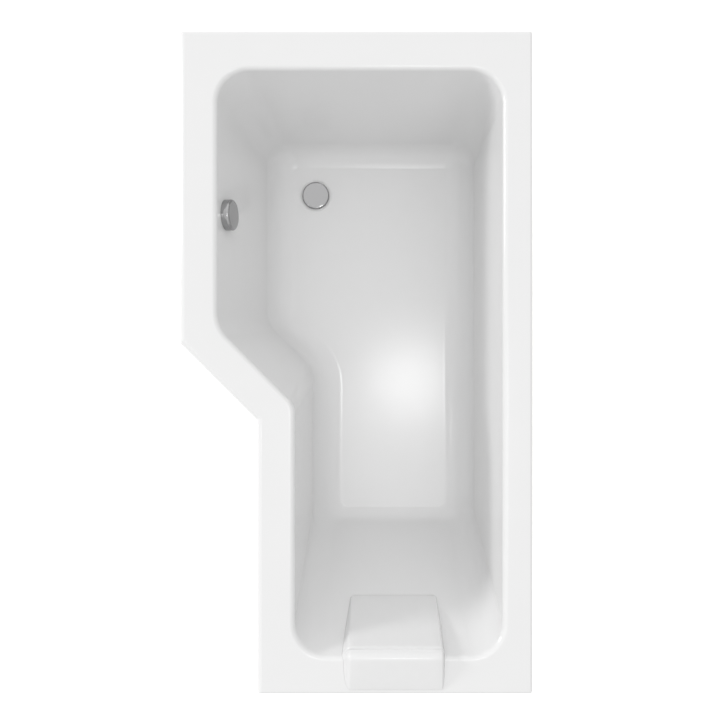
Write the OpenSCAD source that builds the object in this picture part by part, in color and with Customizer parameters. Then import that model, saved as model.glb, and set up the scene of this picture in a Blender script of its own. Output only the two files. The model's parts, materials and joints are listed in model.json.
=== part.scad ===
// Shower bath with a straight-sided P plan: a wide showering end, one diagonal step
// and a narrower body with a sloped backrest. Millimetres, +Z up, feet on z = 0,
// foot (waste) end towards +Y, open front towards -X, long wall side towards +X.

/* [Overall] */
// Length over the rim
bath_length = 1500; // [1400:10:1800]
// Width over the rim at the wide end
wide_width = 800; // [760:5:900]
// How much narrower the bath is past the diagonal
step_in = 175; // [120:5:200]
// Distance from the foot end to the start of the diagonal, along the front edge
step_start = 706; // [660:2:760]
// Depth of the well below the rim
well_depth = 420; // [380:1:460]
// Height of the well's floor above the ground
floor_height = 150; // [145:1:170]
// Thickness of the moulded sheet
sheet = 5; // [4:0.5:6]

/* [Rim] */
// Rim width on the front of the wide end
rim_front = 84; // [76:1:96]
// Rim width on the diagonal
rim_diagonal = 84; // [76:1:96]
// Rim width on the front of the narrow end
rim_narrow = 86; // [76:1:96]
// Rim width at the head end
rim_head = 82; // [72:1:90]
// Rim width on the long wall side
rim_wall = 66.5; // [64:0.5:80]
// Rim width at the foot end
rim_foot = 87; // [76:1:96]
// Height of the turned-down edge
edge_height = 38; // [30:1:44]
// Roll radius of the edge on the three front sides
front_roll = 14; // [10:0.5:18]
// Roll radius of the edge on the three wall sides
wall_roll = 7; // [6.5:0.5:9]
// Roll radius between the rim and the well
well_roll = 12; // [9:0.5:14]
// Plan radius of the rim's own corners
edge_corner = 6; // [4:0.5:10]

/* [Well walls] */
// Lean of the front wall, degrees from upright
lean_front = 11.9; // [10:0.1:13]
// Lean of the diagonal wall
lean_diagonal = 11.4; // [10:0.1:13]
// Lean of the narrow front wall
lean_narrow = 3.7; // [2:0.1:6]
// Lean of the backrest
lean_head = 30.6; // [28:0.1:33]
// Lean of the long wall
lean_wall = 3.6; // [2:0.1:6]
// Lean of the foot end wall
lean_foot = 11.8; // [9:0.1:14]
// Cove radius of the front, diagonal and long walls
side_cove = 75; // [60:1:85]
// Cove radius of the narrow front wall
narrow_cove = 79; // [60:1:85]
// Cove radius at the foot of the backrest
head_cove = 49; // [35:1:60]
// Cove radius at the foot end
foot_cove = 60; // [40:1:70]
// Plan radius of the well's four square corners at the rim
mouth_corner = 74; // [60:1:80]
// How much smaller the two foot end corners are at the bottom of the walls
foot_taper = 14; // [0:1:20]
// How much smaller the two backrest corners are at the bottom of the walls
head_taper = 8; // [0:1:15]
// Plan radius at the rim where the front wall meets the diagonal
step_corner = 84; // [60:1:95]
// Plan radius at the rim where the diagonal meets the narrow front
inner_corner = 45; // [40:1:60]
// Smallest plan radius in the corners of the floor
floor_corner = 6; // [4:0.5:12]

/* [Waste] */
// Distance of the waste from the front edge of the floor
waste_from_front = 54; // [50:1:120]
// Distance of the waste from the foot edge of the floor
waste_from_foot = 70; // [60:1:110]
// Depth of the recess that the flange lies in
waste_recess = 3.5; // [3:0.1:3.8]
// Thickness of the boss under the floor, round the waste hole
waste_boss = 4; // [3:0.5:6]
// Radius of the shallow dish round the recess
dish_radius = 45; // [42:0.5:48]
// Depth of the dish at the edge of the recess
dish_depth = 1.2; // [0.6:0.1:2]
// Radius of the flange
flange_radius = 35; // [33:0.5:36]
// Outer radius of the threaded tail
tail_radius = 23.9; // [23:0.1:24.5]
// Wall of the threaded tail
tail_wall = 2.2; // [1.8:0.1:2.6]
// Radius of the chrome cap
cap_radius = 36.5; // [36:0.5:40]
// Thickness of the chrome cap
cap_thick = 6.5; // [5:0.5:8]
// Travel of the cap between closed and open
cap_travel = 10; // [6:0.5:12]
// Radius of the plug's stem
stem_radius = 4; // [3.5:0.1:4.5]

/* [Overflow] */
// Depth of the overflow's centre below the rim
overflow_depth = 62; // [61:1:66]
// Distance of the overflow's centre from the foot end
overflow_from_foot = 407; // [380:1:440]
// Radius of the overflow cover
cover_radius = 36; // [35:0.5:37]
// How far the cover stands off the wall
cover_depth = 20; // [17:0.5:24]
// Outer radius of the overflow hose over its ribs
hose_radius = 15; // [14.5:0.1:15.2]
// Bore radius of the hose and its spigots
hose_bore = 11.5; // [10.5:0.1:12]
// Distance between the ribs of the hose
rib_pitch = 7; // [6:0.5:10]
// How far the hose heads down before it turns
hose_drop = 190; // [170:1:210]
// How far the hose heads along the floor into the waste
hose_sweep = 140; // [120:1:150]

/* [Trap] */
// Bore radius of the trap
trap_bore = 19; // [18:0.1:19.4]
// Wall of the trap's pipe
trap_wall = 3; // [2.5:0.1:3.4]
// Centre-line radius of the trap's bends
trap_bend = 34; // [30:1:35]
// Bore radius of the outlet socket, for a 40 mm waste pipe
outlet_bore = 20.15; // [20.1:0.01:20.3]
// Depth of the outlet socket
outlet_depth = 25; // [20:1:30]

/* [Legs and board] */
// Thickness of the base board
board_thick = 15; // [12:0.5:17]
// Inset of the base board from the edge of the floor
board_inset = 18; // [12:1:30]
// Section of the rim battens: width
batten_width = 38; // [30:1:38]
// Section of the rim battens: height
batten_height = 18; // [15:1:19]
// Width of the leg rails
rail_width = 40; // [36:1:50]
// Height of the leg rails
rail_height = 25; // [20:1:30]
// Thickness of the rails' steel
rail_sheet = 2; // [1.5:0.1:3]
// Distance of the foot end rail from the board's foot end
rail_foot_in = 203; // [180:1:230]
// Distance of the head end rail from the board's head end
rail_head_in = 47; // [35:1:80]
// Distance of the middle rail past the start of the diagonal, towards the head end
rail_past_step = 98; // [85:1:115]
// How far each foot stands outside the edge of the floor
foot_out = 66; // [64:1:70]
// Radius of the feet's threaded rods
rod_radius = 5; // [4:0.5:6]
// How far a foot can be screwed out, from its middle setting
foot_extend = 20; // [15:1:22]
// Radius of the foot pads
pad_radius = 24; // [20:0.5:28]
// Height of the foot pads
pad_height = 22; // [18:1:26]
// Distance between the two screw holes of a foot pad
pad_hole_spacing = 32; // [30:1:36]
// Radius of the screw holes in the foot pads
pad_hole_radius = 2.5; // [2:0.1:3]

/* [Wall brackets] */
// Width of a wall bracket
bracket_width = 30; // [25:1:40]
// Thickness of a wall bracket's steel
bracket_sheet = 2.5; // [2:0.1:3]
// Height of the plate that is screwed to the wall
bracket_drop = 60; // [50:1:80]
// Distance between a bracket's two wall screws
bracket_hole_spacing = 30; // [25:1:35]
// Radius of a bracket's wall screw holes
bracket_hole_radius = 2.75; // [2.5:0.05:3.5]
// Distance of the side brackets from the middle of the bath
bracket_at = 420; // [300:5:500]

/* [Headrest] */
// Width of the pad's top face
headrest_width = 206; // [180:1:230]
// Place of the pad, from the middle of the narrow end
headrest_offset = 4; // [-20:1:20]
// How far the pad reaches down the backrest, measured down from the rim
headrest_drop = 165; // [130:1:190]
// Thickness of the pad at the bend, square to the backrest
headrest_thick = 24; // [18:0.5:28]
// Height of the pad's ridge above the rim
headrest_rise = 19; // [14:0.5:22]
// Distance that the pad stops short of the rim's outer edge
headrest_setback = 10; // [8:1:20]
// Width of the pad's sloping sides, as a share of its thickness
headrest_flank = 0.8; // [0.5:0.05:1]
// Crown of the pad's top across its width
headrest_crown = 1.5; // [0:0.1:3]

/* [Clearances] */
// Gap between soft or curved faces that lie on each other
seat_gap = 0.3; // [0.2:0.05:0.5]
// Radial gap of a part that turns or slides in its bore
running_gap = 0.05; // [0.03:0.01:0.08]
// Radial gap of a screw or rod in its nut
thread_gap = 0.08; // [0.05:0.01:0.1]
// Radial gap of a bolt or screw in a clearance hole
hole_gap = 0.4; // [0.3:0.1:0.8]

/* [Hidden] */
$fn = 72;

WHITE = [0.95, 0.95, 0.94];
RESIN = [0.88, 0.87, 0.80];
TIMBER = [0.80, 0.66, 0.45];
ZINC = [0.72, 0.74, 0.76];
CHROME = [0.80, 0.81, 0.83];
BLACK = [0.12, 0.12, 0.12];
PIPE = [0.86, 0.86, 0.85];

// ---- Sides, in order anticlockwise from above: front, diagonal, narrow, head, wall, foot ----
FRONT = 0;
DIAGONAL = 1;
NARROW = 2;
HEAD = 3;
WALL = 4;
FOOT = 5;
SIDES = 6;
facing = [180, 225, 180, 270, 360, 450];      // direction that each side faces, outwards
turning = [45, -45, 90, 90, 90, 90];          // turn of the outline at the corner after each side
corner_steps = [6, 6, 10, 10, 10, 10];        // facets of each corner's arc

half_length = bath_length / 2;
half_width = wide_width / 2;
rim_height = floor_height + well_depth;
narrow_x = half_width - step_in;              // distance of the narrow front edge from the middle
diagonal_at = (half_width - half_length + step_start) / sqrt(2);
outer = [half_width, diagonal_at, narrow_x, half_length, half_width, half_length];
rim = [rim_front, rim_diagonal, rim_narrow, rim_head, rim_wall, rim_foot];
lean = [lean_front, lean_diagonal, lean_narrow, lean_head, lean_wall, lean_foot];
cove = [side_cove, side_cove, narrow_cove, head_cove, side_cove, foot_cove];
edge_roll = [front_roll, front_roll, front_roll, wall_roll, wall_roll, wall_roll];
mouth = [step_corner, inner_corner, mouth_corner, mouth_corner, mouth_corner, mouth_corner];
taper = [0, 0, head_taper, head_taper, foot_taper, foot_taper];

function next(i) = (i + 1) % SIDES;
function before(i) = (i + SIDES - 1) % SIDES;

// Point where two sides meet, each given by the way it faces and its distance from the middle
function meet(a, at_a, b, at_b) =
    [at_a * sin(b) - at_b * sin(a), at_b * cos(a) - at_a * cos(b)] / sin(b - a);

// One corner of an outline as an arc; a corner that turns back (the step) is rounded outwards
function corner(i, at, r) =
    let (s = sign(turning[i]), a = facing[i], b = a + turning[i],
         c = meet(a, at[i] - s * r, b, at[next(i)] - s * r))
    [for (k = [0 : corner_steps[i]])
        let (t = a + turning[i] * k / corner_steps[i])
        [c[0] + s * r * cos(t), c[1] + s * r * sin(t)]];

// A closed outline at one level. It starts at the wall/foot corner, from where every point is in view
function outline(at, radii, z) =
    [for (n = [0 : SIDES - 1]) let (i = (n + WALL) % SIDES) each
        [for (p = corner(i, at, radii[i])) [p[0], p[1], z]]];

// ---- Section of the well's wall: how far it lies inside the edge of the rim's well, at a depth ----
// skin is 0 on the face that shows and the sheet's thickness on the underside
function roll_start(i) = well_roll * tan((90 - lean[i]) / 2);
function wall_line(i, depth, skin) = depth * tan(lean[i]) - skin / cos(lean[i]);
function floor_in(i) = well_depth * tan(lean[i]) + cove[i] * tan((90 - lean[i]) / 2);
function wall_in(i, depth, skin) =
    let (above = well_roll - depth, below = depth - well_depth + cove[i],
         roll = well_roll - skin, bowl = cove[i] + skin)
    above > roll * sin(lean[i]) ? sqrt(max(0, roll * roll - above * above)) - roll_start(i)
    : below > bowl * sin(lean[i]) ? floor_in(i) - sqrt(max(0, bowl * bowl - below * below))
    : wall_line(i, depth, skin);

// Radius of a well corner at a depth: it shrinks through the coves, and the step's grows
function well_radius(i, depth, skin) =
    let (inward = (wall_in(i, depth, skin) + wall_in(next(i), depth, skin)) / 2,
         line = (wall_line(i, depth, skin) + wall_line(next(i), depth, skin)) / 2)
    turning[i] < 0 ? mouth[i] + inward
    : max(floor_corner, mouth[i] - taper[i] * min(1, depth / well_depth) - inward + line) + skin;

function well_at(i, depth, skin) = outer[i] - rim[i] - wall_in(i, depth, skin);
function well_outline(depth, skin) =
    outline([for (i = [0 : SIDES - 1]) well_at(i, depth, skin)],
            [for (i = [0 : SIDES - 1]) well_radius(i, depth, skin)],
            rim_height - depth);

// ---- Section of the turned-down edge: how far it lies inside the plan size, at a depth ----
function edge_in(i, depth, skin) =
    let (r = edge_roll[i], inner = r - skin)
    depth >= r ? skin : r - sqrt(max(0, inner * inner - (r - depth) * (r - depth)));
function edge_radius(i, depth, skin) =
    let (inward = (edge_in(i, depth, skin) + edge_in(next(i), depth, skin)) / 2)
    turning[i] < 0 ? edge_corner + inward : max(1, edge_corner - inward);
function edge_outline(depth, skin) =
    outline([for (i = [0 : SIDES - 1]) outer[i] - edge_in(i, depth, skin)],
            [for (i = [0 : SIDES - 1]) edge_radius(i, depth, skin)],
            rim_height - depth);

// ---- Levels of the sheet, as depths below the rim ----
function arc_depths(r, steps, to) = [for (k = [0 : steps]) r * (1 - cos(to * k / steps))];
wall_slope = 90 - min(lean);
high_cove = max(cove);
cove_levels = [for (d = arc_depths(high_cove, 9, wall_slope)) well_depth - d];
under_cove_levels = [for (k = [6 : -1 : 0])
    well_depth - high_cove + (high_cove + sheet) * cos(wall_slope * k / 6)];
under_roll_levels = [for (k = [0 : 3]) well_roll - (well_roll - sheet) * cos(wall_slope * k / 3)];
mouth_levels = [for (k = [6 : -1 : 0]) arc_depths(well_roll, 6, wall_slope)[k]];
edge_levels = arc_depths(front_roll, 6, 90);
under_edge_levels = [for (k = [3 : -1 : 0]) front_roll - (front_roll - sheet) * cos(90 * k / 3)];

floor_z = rim_height - well_depth;            // top of the floor
under_z = floor_z - sheet;                    // underside of the floor
edge_z = rim_height - edge_height;            // lower edge of the turned-down edge

// Faces between outlines that lie one after the other, as triangles
function band(a, b, count) =
    [for (i = [0 : count - 1]) let (j = (i + 1) % count)
        each [[a * count + i, a * count + j, b * count + j], [a * count + i, b * count + j, b * count + i]]];
function fan(first, count, up) =
    [for (i = [1 : count - 2]) up ? [first, first + i + 1, first + i] : [first, first + i, first + i + 1]];

// A solid through a stack of outlines, closed by a flat end at each side
module skin_through(stack) {
    count = len(stack[0]);
    last = len(stack) - 1;
    polyhedron(points = [for (ring = stack) each ring],
               faces = [each fan(0, count, true),
                        for (k = [0 : last - 1]) each band(k, k + 1, count),
                        each fan(last * count, count, false)],
               convexity = 6);
}

// A ring-shaped solid: the last outline joins the first again
module skin_round(stack) {
    count = len(stack[0]);
    turns = len(stack);
    polyhedron(points = [for (ring = stack) each ring],
               faces = [for (k = [0 : turns - 1]) each band(k, (k + 1) % turns, count)],
               convexity = 10);
}

module tube(r_out, r_in, z_low, z_high) {
    difference() {
        translate([0, 0, z_low]) cylinder(h = z_high - z_low, r = r_out);
        translate([0, 0, z_low - 1]) cylinder(h = z_high - z_low + 2, r = r_in);
    }
}

module drill(r, z_low, z_high) {
    translate([0, 0, z_low]) cylinder(h = z_high - z_low, r = r);
}

// ---- Places of the fittings ----
waste_x = -(outer[FRONT] - rim[FRONT] - floor_in(FRONT)) + waste_from_front;
waste_y = outer[FOOT] - rim[FOOT] - floor_in(FOOT) - waste_from_foot;
overflow_x = -well_at(FRONT, overflow_depth, 0);
overflow_y = half_length - overflow_from_foot;
overflow_z = rim_height - overflow_depth;

module at_waste() {
    translate([waste_x, waste_y, 0]) children();
}

// Frame of the overflow: its z leaves the wall square into the well, its x runs down the wall
module at_overflow() {
    translate([overflow_x, overflow_y, overflow_z]) rotate([0, 90 - lean_front, 0]) children();
}

// ---- Shell ----
waste_hole = tail_radius + 2.1;
recess_radius = flange_radius + 1.5;
boss_radius = dish_radius + 4;
overflow_hole = 27;

module bath_shell() {
    color(WHITE)
    difference() {
        union() {
            skin_through([
                for (d = cove_levels) well_outline(d, 0),
                for (d = mouth_levels) well_outline(d, 0),
                for (d = edge_levels) edge_outline(d, 0),
                edge_outline(edge_height, 0),
                edge_outline(edge_height, sheet),
                for (d = under_edge_levels) edge_outline(d, sheet),
                for (d = under_roll_levels) well_outline(d, sheet),
                for (d = under_cove_levels) well_outline(d, sheet)]);
            at_waste() drill(boss_radius, under_z - waste_boss, under_z + 1);
        }
        at_waste() {
            drill(waste_hole, under_z - waste_boss - 1, floor_z + 1);
            drill(recess_radius, floor_z - waste_recess, floor_z + 1);
            translate([0, 0, floor_z - dish_depth])
                cylinder(h = 2 * dish_depth, r1 = recess_radius, r2 = 2 * dish_radius - recess_radius);
        }
        at_overflow() drill(overflow_hole, -3 * sheet, 3 * sheet);
    }
}

// ---- Headrest: a wedge of foam that bends over the rim. Each station has a foot point, a top point
// and the thickness that its sloping sides go by ----
head_rim = outer[HEAD] - rim[HEAD];           // distance of the backrest's upper edge from the middle
head_roll_y = head_rim + roll_start(HEAD);    // where the rim starts to roll into the backrest
headrest_x = (half_width - narrow_x) / 2 + headrest_offset;
headrest_end = half_length - headrest_setback;
pad_top_steps = 7;
pad_front_steps = 9;
pad_round = 9;                                // plan radius of the pad's lower corners
pad_edge = 1.2;                               // thickness at the pad's thin ends

function backrest(depth, off) =               // a point off the backrest's face: [distance, height]
    [head_rim - depth * tan(lean_head) - off * cos(lean_head), rim_height - depth + off * sin(lean_head)];
roll_depth = well_roll * (1 - sin(lean_head));
pad_front = [for (k = [0 : pad_front_steps])
    let (f = pow(k / pad_front_steps, 1.6), d = headrest_drop + (roll_depth - headrest_drop) * f,
         thick = pad_edge + (headrest_thick - pad_edge) * sqrt(f))
    [backrest(d, seat_gap), backrest(d, seat_gap + thick), thick]];
pad_ridge = [head_rim - 3, rim_height + headrest_rise];
pad_bend = [for (k = [1 : 3])
    let (t = (90 - lean_head) * k / 3, foot_r = well_roll + seat_gap,
         shoulder = pad_front[pad_front_steps][1])
    [[head_roll_y - foot_r * cos(lean_head + t), rim_height - well_roll + foot_r * sin(lean_head + t)],
     shoulder + (pad_ridge - shoulder) * k / 3, headrest_thick + (headrest_rise - headrest_thick) * k / 3]];
pad_top = [for (k = [1 : pad_top_steps])
    let (f = 1 - pow(1 - k / pad_top_steps, 1.6), y = head_roll_y + (headrest_end - head_roll_y) * f,
         thick = pad_edge + (headrest_rise - pad_edge) * sqrt(1 - f))
    [[y, rim_height + seat_gap],
     [pad_ridge[0] + (headrest_end - pad_ridge[0]) * f, rim_height + seat_gap + thick], thick]];
pad_stations = concat(pad_front, pad_bend, pad_top);

// Cross loop of the pad at one station: flat foot, sloping sides, rounded shoulders, crowned top
function pad_narrowing(k) =
    let (gone = min(pad_round, norm(pad_stations[k][0] - pad_stations[0][0])))
    pad_round - sqrt(pad_round * pad_round - pow(pad_round - gone, 2));
function pad_loop(k) =
    let (low = pad_stations[k][0], high = pad_stations[k][1], thick = pad_stations[k][2],
         half_top = headrest_width / 2 - pad_narrowing(k), flank = headrest_flank * thick,
         across = [[half_top + flank, 0], [half_top + 0.66 * flank, 0.42], [half_top + 0.2 * flank, 0.88],
                   [half_top - 0.12 * flank, 0.98], [half_top * 0.6, 1]],
         rise = headrest_crown / max(thick, headrest_crown) * min(1, thick / headrest_thick))
    [for (p = concat([for (p = across) [p[0], p[1] * (1 - rise * pow(p[0] / (half_top + flank), 2))]],
                     [for (n = [4 : -1 : 0]) let (p = across[n])
                         [-p[0], p[1] * (1 - rise * pow(p[0] / (half_top + flank), 2))]]))
        let (q = low + (high - low) * p[1])
        [headrest_x + p[0], -q[0], q[1]]];

module headrest_pad() {
    color(WHITE)
    skin_through([for (k = [0 : len(pad_stations) - 1]) pad_loop(k)]);
}

// ---- Base board and battens ----
function floor_at(i) = outer[i] - rim[i] - floor_in(i);
function side_at(at, i) = meet(facing[before(i)], at[before(i)], facing[i], at[i]);
board_at = [for (i = [0 : SIDES - 1]) floor_at(i) - board_inset];
board_z = under_z - board_thick;
board_notch = boss_radius + 12;               // the board stops this far from the waste's axis
screw_radius = 2;
screw_head = 4;
screw_head_height = 2.6;
screw_bite = 12;                              // length of a screw in the wood
pilot = screw_radius + thread_gap;

module base_board() {
    color(RESIN)
    difference() {
        translate([0, 0, board_z]) linear_extrude(board_thick)
            polygon([for (i = [0 : SIDES - 1]) side_at(board_at, i)]);
        at_waste() translate([0, 0, board_z - 1]) linear_extrude(board_thick + 2) {
            circle(r = board_notch);
            translate([-bath_length, 0]) square([bath_length + board_notch, bath_length]);
            translate([-bath_length, -board_notch]) square([bath_length, 2 * board_notch]);
        }
        for (p = rail_screw_places) translate(p) drill(pilot, board_z - 1, board_z + screw_bite + 0.5);
    }
}

batten_out = [for (i = [0 : SIDES - 1]) outer[i] - edge_roll[i] - 1];
batten_in = [for (i = [0 : SIDES - 1]) batten_out[i] - batten_width];
batten_z = rim_height - sheet - batten_height;

module batten(i) {
    color(TIMBER)
    difference() {
        translate([0, 0, batten_z]) linear_extrude(batten_height)
            polygon([side_at(batten_out, i), side_at(batten_out, next(i)),
                     side_at(batten_in, next(i)), side_at(batten_in, i)]);
        for (b = brackets) on_side(b) translate([bracket_screw_in, 0, 0])
            drill(pilot, batten_z - 1, batten_z + screw_bite + 0.5);
    }
}

// A screw that points up, its head's upper face at z = 0
module wood_screw(long) {
    translate([0, 0, -screw_head_height]) cylinder(h = screw_head_height, r = screw_head);
    cylinder(h = long, r = screw_radius);
}

// ---- Leg rails, feet and their nuts ----
rail_y = [board_at[FOOT] - rail_foot_in, half_length - step_start - rail_past_step,
          rail_head_in - board_at[HEAD]];
rail_side = [FRONT, NARROW, NARROW];          // side of the well that each rail's front foot stands at
rail_over = 24;                               // length of rail beyond its feet
rail_lip = 6;
rail_screw_in = 40;                           // distance of a rail's screws from the board's side
nut_radius = rod_radius * 1.9;
nut_height = 8;
rod_low = 6;                                  // height of the rod's lower end in its pad
rod_top = board_z + nut_height + foot_extend; // flush with the upper nut when screwed right out
rail_right = floor_at(WALL) + foot_out;
rail_left = [for (side = rail_side) -floor_at(side) - foot_out];
foot_places = [for (r = [0 : 2], x = [rail_left[r], rail_right]) [x, rail_y[r], 0]];
rail_screw_places = [for (r = [0 : 2], x = [rail_screw_in - board_at[rail_side[r]],
                                            board_at[WALL] - rail_screw_in], t = [-1, 1])
    [x, rail_y[r] + t * rail_width / 4, 0]];

module rail(r) {
    side = rail_width / 2;
    inner = side - rail_sheet;
    low = -rail_height;
    start = rail_left[r] - rail_over;
    color(ZINC)
    difference() {
        translate([start, rail_y[r], board_z]) rotate([90, 0, 90])
            linear_extrude(rail_right + rail_over - start)
                polygon([[-side, 0], [side, 0], [side, low + rail_sheet], [side + rail_lip, low + rail_sheet],
                         [side + rail_lip, low], [inner, low], [inner, -rail_sheet], [-inner, -rail_sheet],
                         [-inner, low], [-side - rail_lip, low], [-side - rail_lip, low + rail_sheet],
                         [-side, low + rail_sheet]]);
        for (p = foot_places) translate(p) drill(rod_radius + hole_gap, board_z - rail_sheet - 1, board_z + 1);
        for (p = rail_screw_places) translate(p)
            drill(screw_radius + hole_gap, board_z - rail_sheet - 1, board_z + 1);
    }
}

module rail_screws() {
    color(ZINC)
    for (p = rail_screw_places) translate([p[0], p[1], board_z - rail_sheet])
        wood_screw(rail_sheet + screw_bite);
}

module foot_nuts() {
    color(ZINC)
    for (p = foot_places, z = [board_z, board_z - rail_sheet - nut_height]) translate([p[0], p[1], z])
        difference() {
            cylinder(h = nut_height, r = nut_radius, $fn = 6);
            drill(rod_radius + thread_gap, -1, nut_height + 1);
        }
}

module foot_rod(n) {
    slot_width = 1.6;                         // for a screwdriver, from above
    slot_depth = 3;
    color(ZINC)
    translate(foot_places[n]) difference() {
        drill(rod_radius, rod_low, rod_top);
        translate([-rod_radius, -slot_width / 2, rod_top - slot_depth])
            cube([2 * rod_radius, slot_width, slot_depth + 1]);
    }
}

module foot_pad(n) {
    sole = 4;
    bevel = 1;
    collar = rod_radius + 4;
    flare = 4;                                // how much the collar widens where it meets the sole
    color(BLACK)
    translate(foot_places[n]) difference() {
        rotate_extrude() polygon([[0, 0], [pad_radius, 0], [pad_radius, sole - bevel],
                                  [pad_radius - bevel, sole], [collar + flare, sole + flare / 2],
                                  [collar + bevel, sole + 1.5 * flare], [collar, pad_height - bevel],
                                  [collar - bevel, pad_height], [0, pad_height]]);
        drill(rod_radius + running_gap, rod_low, pad_height + 1);
        for (s = [-1, 1]) translate([s * pad_hole_spacing / 2, 0, 0]) drill(pad_hole_radius, -1, pad_height);
    }
}

// ---- Wall brackets: a strip screwed to the wall, which hooks in behind the turned-down edge ----
brackets = [[WALL, bracket_at], [WALL, -bracket_at], [HEAD, (narrow_x - half_width) / 2]];
bracket_gap = 0.5;
bracket_hook = sheet + bracket_gap;           // distance of the hook from the outer face
bracket_screw_in = bracket_hook + 20;         // distance of the batten's screw from the outer face
bracket_reach = bracket_screw_in + 10;
bracket_top = edge_z - bracket_gap;
bracket_hole_z = bracket_top - bracket_sheet - (bracket_drop - bracket_sheet) / 2;

// Frame of a place on a side: its x points inwards from the rim's outer face
module on_side(place) {
    rotate([0, 0, facing[place[0]] + 180]) translate([-outer[place[0]], place[1], 0]) children();
}

module wall_bracket(n) {
    b = bracket_sheet;
    color(ZINC)
    on_side(brackets[n]) difference() {
        translate([0, bracket_width / 2, 0]) rotate([90, 0, 0]) linear_extrude(bracket_width)
            polygon([[0, bracket_top - bracket_drop], [b, bracket_top - bracket_drop], [b, bracket_top - b],
                     [bracket_hook + b, bracket_top - b], [bracket_hook + b, batten_z - b],
                     [bracket_reach, batten_z - b], [bracket_reach, batten_z], [bracket_hook, batten_z],
                     [bracket_hook, bracket_top], [0, bracket_top]]);
        for (s = [-1, 1]) translate([-1, 0, bracket_hole_z + s * bracket_hole_spacing / 2])
            rotate([0, 90, 0]) cylinder(h = b + 2, r = bracket_hole_radius);
        translate([bracket_screw_in, 0, 0]) drill(screw_radius + hole_gap, batten_z - b - 1, batten_z + 1);
    }
}

module bracket_screws() {
    color(ZINC)
    for (b = brackets) on_side(b) translate([bracket_screw_in, 0, batten_z - bracket_sheet])
        wood_screw(bracket_sheet + screw_bite);
}

// ---- Waste: levels from the floor down ----
recess_z = floor_z - waste_recess;
seal_thick = 1.5;
flange_z = recess_z + seal_thick;             // underside of the flange
flange_top = floor_z + 0.5;
tail_bore = tail_radius - tail_wall;
throat_radius = tail_radius + 2.5;            // the plug's seat narrows from here to the tail's bore
throat_z = flange_z + 0.3;
boss_z = under_z - waste_boss;
inlet_top = boss_z - 3;                       // the underfloor seal lies above this
inlet_height = 30;
inlet_low = inlet_top - inlet_height;
inlet_radius = 34;
inlet_wall = 3;
inlet_end = 2;
inlet_z = inlet_low + inlet_height / 2;       // height of the hose spigot
clamp_height = 9;
clamp_low = inlet_low - clamp_height;
tail_low = clamp_low - 12;
flange_edge = 1.2;                            // thickness of the flange at its edge
flange_slope = 2;                             // width of the slope round the flange
hub_radius = 9;
hub_low = tail_low + 3;
hub_top = hub_low + 8;
spoke_width = 4;
window_width = 14;                            // the overflow's water comes in through four windows
window_in = 7;                                // the windows stop this far short of the inlet's ends
cartridge_radius = 8;
cartridge_thread = 6;
cartridge_top = flange_z - 14;
spigot_radius = hose_bore + 2.5;
spigot_end = boss_radius + 13;                // distance of the inlet's spigot end from the waste's axis
hose_nut_radius = hose_radius + 3;

module waste_flange() {
    color(CHROME)
    at_waste() difference() {
        rotate_extrude() {
            polygon([[0, flange_z], [flange_radius, flange_z], [flange_radius, flange_z + flange_edge],
                     [flange_radius - flange_slope, flange_top], [0, flange_top]]);
            translate([0, tail_low]) square([tail_radius, flange_z - tail_low + flange_edge / 2]);
        }
        rotate_extrude() polygon([[0, hub_top], [tail_bore, hub_top], [tail_bore, throat_z],
                                  [throat_radius, flange_top], [throat_radius, flange_top + 1],
                                  [0, flange_top + 1]]);
        difference() {
            drill(tail_bore, tail_low - 1, hub_top + 1);
            drill(hub_radius, tail_low - 2, hub_top + 2);
            for (a = [0 : 60 : 120]) rotate([0, 0, a]) translate([-tail_radius, -spoke_width / 2, hub_low])
                cube([2 * tail_radius, spoke_width, hub_top - hub_low]);
        }
        drill(hub_radius + 1, tail_low - 1, hub_low);
        drill(cartridge_thread + thread_gap, tail_low - 1, hub_top + 1);
        for (a = [0, 90]) rotate([0, 0, a])
            translate([-tail_radius - 1, -window_width / 2, inlet_low + window_in])
                cube([2 * tail_radius + 2, window_width, inlet_height - 2 * window_in]);
    }
}

module flange_seal() {
    color(BLACK) at_waste() tube(flange_radius - 2, tail_radius + seat_gap, recess_z, flange_z);
}

module underfloor_seal() {
    color(BLACK) at_waste() tube(inlet_radius, tail_radius + seat_gap, inlet_top, boss_z);
}

module overflow_inlet() {
    ring = tail_radius + seat_gap;
    color(PIPE)
    at_waste() difference() {
        union() {
            drill(inlet_radius, inlet_low, inlet_top);
            translate([0, 0, inlet_z]) rotate([0, -90, 0]) cylinder(h = spigot_end, r = spigot_radius);
        }
        drill(ring, inlet_low - 1, inlet_top + 1);
        drill(inlet_radius - inlet_wall, inlet_low + inlet_end, inlet_top - inlet_end);
        translate([0, 0, inlet_z]) rotate([0, -90, 0]) cylinder(h = spigot_end + 1, r = hose_bore);
    }
}

module clamp_nut() {
    color(PIPE)
    at_waste() difference() {
        union() {
            translate([0, 0, clamp_low]) cylinder(h = clamp_height, r = inlet_radius - 1, $fn = 8);
            drill(inlet_radius - 1, inlet_low - inlet_end, inlet_low);
        }
        drill(tail_radius + thread_gap, clamp_low - 1, inlet_low + 1);
    }
}

module plug_cartridge() {
    color(PIPE)
    at_waste() difference() {
        union() {
            drill(cartridge_thread, tail_low - 2, hub_top + 1);
            drill(cartridge_radius, hub_top, cartridge_top);
        }
        drill(stem_radius + running_gap, hub_low, cartridge_top + 1);
    }
}

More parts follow.
